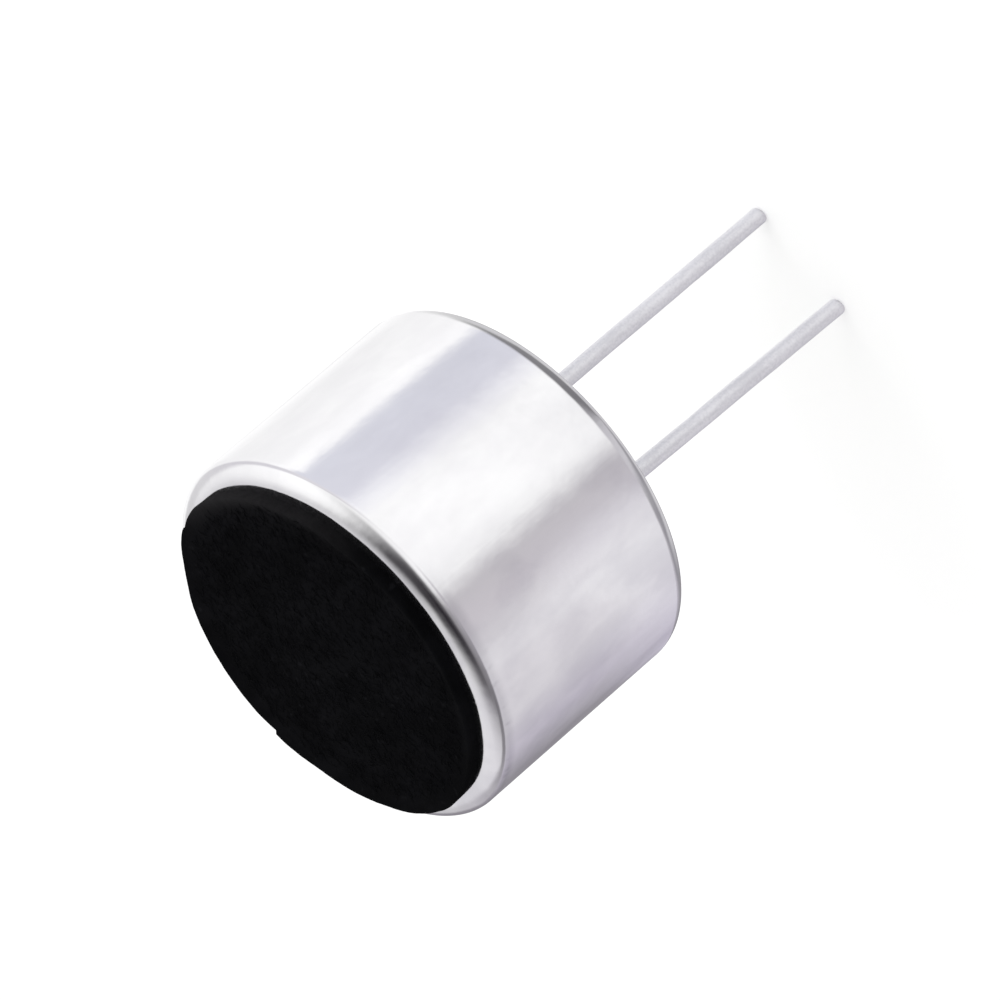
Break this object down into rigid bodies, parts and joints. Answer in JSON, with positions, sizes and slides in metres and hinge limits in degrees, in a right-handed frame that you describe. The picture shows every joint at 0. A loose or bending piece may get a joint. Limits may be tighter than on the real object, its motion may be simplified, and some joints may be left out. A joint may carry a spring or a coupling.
{
  "type": "electret microphone capsule",
  "caption": "Round electret microphone capsule: a rolled aluminium case with a black felt dust cover on its sound face and two soldered wire leads on its rear.",
  "frame": {"origin": "centre of the case's rear lip, on the plane that seats on a board", "axes": "+Z along the case's axis towards the felt-covered sound face, +X from the ground lead to the output lead; the leads run along -Z"},
  "size_m": [0.0098, 0.0096, 0.0159],
  "materials": {
    "felt": "black needled felt, matt and slightly fuzzy",
    "adhesive": "pale pressure-sensitive adhesive",
    "case_metal": "satin drawn aluminium",
    "ring_brass": "turned brass",
    "film": "thin glossy film",
    "chamber_plastic": "natural moulded plastic",
    "copper": "bright copper",
    "board": "green solder resist on glass-fibre board",
    "moulding": "black moulded epoxy",
    "chip_ceramic": "tan chip ceramic",
    "tin": "tinned wire, satin",
    "solder": "bright solder"
  },
  "bodies": {
    "root": {"dust_felt": "felt", "felt_adhesive": "adhesive", "case": "case_metal", "diaphragm_ring": "ring_brass", "diaphragm": "film", "spacer_ring": "film", "electret_film": "film", "back_plate": "ring_brass", "chamber": "chamber_plastic", "contact_ring": "copper", "circuit_board": "board", "gate_land": "copper", "output_land": "copper", "ground_land": "copper", "transistor_body": "moulding", "transistor_legs": "tin", "capacitor_body": "chip_ceramic", "capacitor_ends": "tin", "output_solder": "solder", "ground_solder": "solder", "output_lead": "tin", "ground_lead": "tin"}
  },
  "joints": []
}
